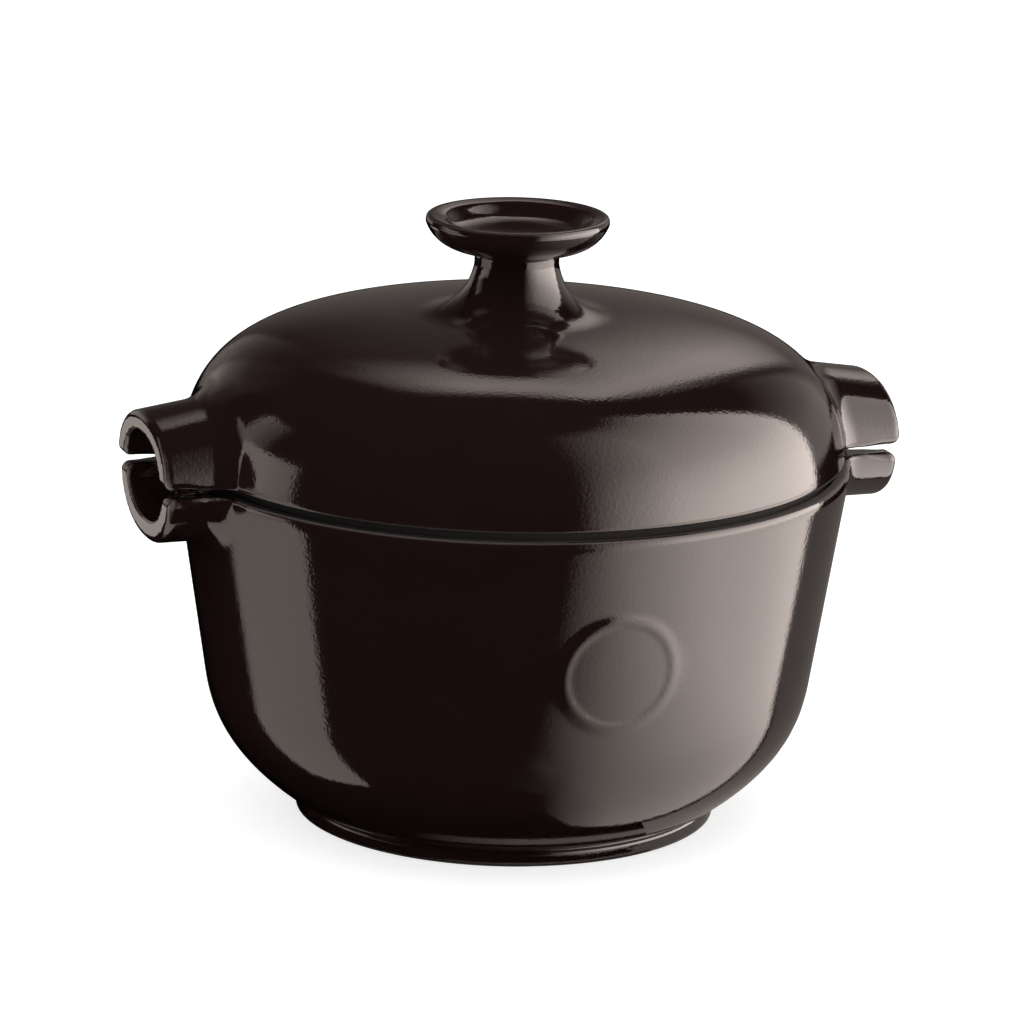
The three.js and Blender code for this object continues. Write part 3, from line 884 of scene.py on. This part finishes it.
# %% [markdown]
# Black tent and cloth
#
# First the pot gets a black room: a tent all round and a cloth on the table. With only these it would be one
# dark shape. Everything bright in the glaze is then put in on purpose.

# %% Black tent and cloth
def even(glow):
    """The same glow all over a card."""
    return lambda first, second: np.full(first.shape, glow)


card("black_tent", in_the_air, 0, box((-180, 180), (-3.4, 90)), even(0), steps=48)
card("black_cloth", on_the_table, 0, box((-2.3, 2.3), (-2.3, 2.3)), even(0))
print("the room is black in reflections")

# %% [markdown]
# Lit cards
#
# Each card was found by tracing a highlight in the photograph back from the glaze to where it must come from.
# A large softbox on the right draws the bright shapes on lid and wall, and the table in front of it fills the
# wall below. A window on the left gives the tall strip. A panel behind gives the sheen round the knob.

# %% Lit cards
def softbox(bearing, height):
    """Strongest low down on the far right, and fading towards the front and the top."""
    tall = [0, 6, 12, 18, 24, 30, 36, 42, 48, 54, 60, 66, 70, 73]
    glow = [3.4, 3.25, 2.95, 2.63, 2.23, 1.87, 1.65, 1.44, 1.22, 1.0, 0.72, 0.47, 0.19, 0]
    side = np.interp(bearing, [23, 47, 58, 81, 120], [0, 0.4, 0.62, 0.82, 1.0])
    return np.interp(height, tall, glow) * side


def side_panel(bearing, height):
    """A dim wall on the right."""
    return 0.40 * np.clip((38 - height) / 30, 0, 1) * (1 - 0.05 * (bearing - 124) / 34)


def back_panel(bearing, height):
    """A ceiling edge behind the pot that comes down on the right, over a dim far wall."""
    ceiling = 0.78 * np.interp(height, [32, 50, 55, 60], [0, 1, 0.9, 0])
    ceiling *= np.interp(bearing, [153, 164, 187, 197, 205], [0.2, 1, 1, 0.4, 0])
    column = 0.90 * np.clip((height - 6) / 20, 0, 1) * np.interp(bearing, [157, 160, 167, 182], [0, 1, 1, 0])
    wall = 0.175 * np.interp(height, [5, 10, 18, 32], [1, 0.9, 0.4, 0.3])
    wall *= np.interp(bearing, [153, 160, 184, 200], [0.5, 1, 0.9, 0])
    return np.maximum(np.maximum(ceiling, column), wall) * np.interp(height, [58, 61], [1, 0])


def window_low(bearing, height):
    """A window on the left, at table height."""
    return np.interp(bearing, [-113, -94, -77], [0.54, 0.63, 0.41])


def window_high(bearing, height):
    """The upper pane of that window."""
    return np.interp(bearing, [-110, -94], [0.40, 0.09])


def table_right(x, y):
    """The table lit by the softbox, which darkens towards the front and the left."""
    bearing = np.degrees(np.arctan2(x, -y))
    brightest = np.interp(bearing, [60, 80, 100], [1.65, 1.88, 2.25])
    return np.clip(np.minimum((x + 0.6 * y + 0.079) * 7.8, (bearing - 10) * 0.0315), 0, brightest)


def table_back(x, y):
    """The dim table behind the pot on the right, a little lighter close to the foot."""
    return np.interp(np.hypot(x, y), [0.075, 0.11, 0.2], [0.33, 0.23, 0.165])


def table_foot(radius, bearing):
    """A narrow light on the table all along the right of the foot."""
    return np.interp(bearing, [-25, 5, 60, 115], [0, 0.2, 0.32, 0.24])


def back_left(bearing, height):
    """A dim wall behind on the left."""
    return np.interp(height, [8, 14, 24, 40], [0.45, 0.23, 0.045, 0])


def table_left(x, y):
    """The table lit by the window."""
    return np.interp(np.degrees(np.arctan2(x, -y)), [-113.5, -74.7], [0.40, 0.51])


card("softbox_right", in_the_air, 2, [(22, -6.9), (122, -6.9), (116, 73), (22, 73)], softbox, steps=48)
card("side_right", in_the_air, 1, [(118, -4.2), (158, -4.2), (152, 38), (116, 38)], side_panel)
card("back_panel", in_the_air, 1, box((153, 206), (-4.2, 61)), back_panel, steps=48)
card("window_low", in_the_air, 1, [(-97, -4.2), (-77, -4.2), (-77, 12.5), (-113, 12.5)], window_low)
card("window_high", in_the_air, 1, box((-110, -94), (12.5, 32)), window_high)
right_corners = [(0.545, -1.04), (1.6, -0.4), (0.8, 0.494), (-0.0036, -0.1256)]
near_corners = [(-0.0036, -0.1256), (0.175, 0.012), (0.112, -0.024), (0.025, -0.078)]
left_corners = [(-1.43, -0.39), (-0.061, -0.086), (-0.085, -0.061), (-1.4, 0.61)]
back_left_corners = [(-0.31, 0.21), (-0.27, 0.34), (-0.5, 0.6), (-0.62, 0.36)]
card("table_right", on_the_table, 1, right_corners, table_right)
card("table_near", on_the_table, 2, near_corners, table_right)
card("table_left", on_the_table, 1, left_corners, table_left)
card("table_back", on_the_table, 0.5, [(0.03, 0.075), (0.05, -0.06), (0.45, 0.2), (0.2, 0.45)], table_back)
card("table_foot", round_the_foot, 1, box((0.0700, 0.0735), (-25, 115)), table_foot)
card("back_left", in_the_air, 1, box((-165, -132), (-4.2, 40)), back_left)
card("table_back_left", on_the_table, 1, back_left_corners, even(0.80))

# %% [markdown]
# Lamp
#
# One large, soft lamp above gives the floor its shadow and the inside of the pot its shape.

# %% Lamp
LAMP_WATTS = 4
LAMP_SIZE = 1.2

lamp_data = bpy.data.lights.new("overhead", "AREA")
lamp_data.energy = LAMP_WATTS
lamp_data.size = LAMP_SIZE
lamp = bpy.data.objects.new("overhead", lamp_data)
bpy.context.scene.collection.objects.link(lamp)
lamp.matrix_world = studio_turn @ Matrix.Translation((0.3, -0.2, 1.5)) @ Matrix.Rotation(0.15, 4, "Y")
lamp.visible_camera = False
lamp.visible_glossy = False
print("lamp at", [round(v, 2) for v in lamp.matrix_world.translation])

# %% [markdown]
# Finish
#
# The colours are shown with the Standard view transform, and the scene is brought up to date.

# %% Finish
bpy.context.scene.view_settings.view_transform = "Standard"
bpy.context.view_layer.update()
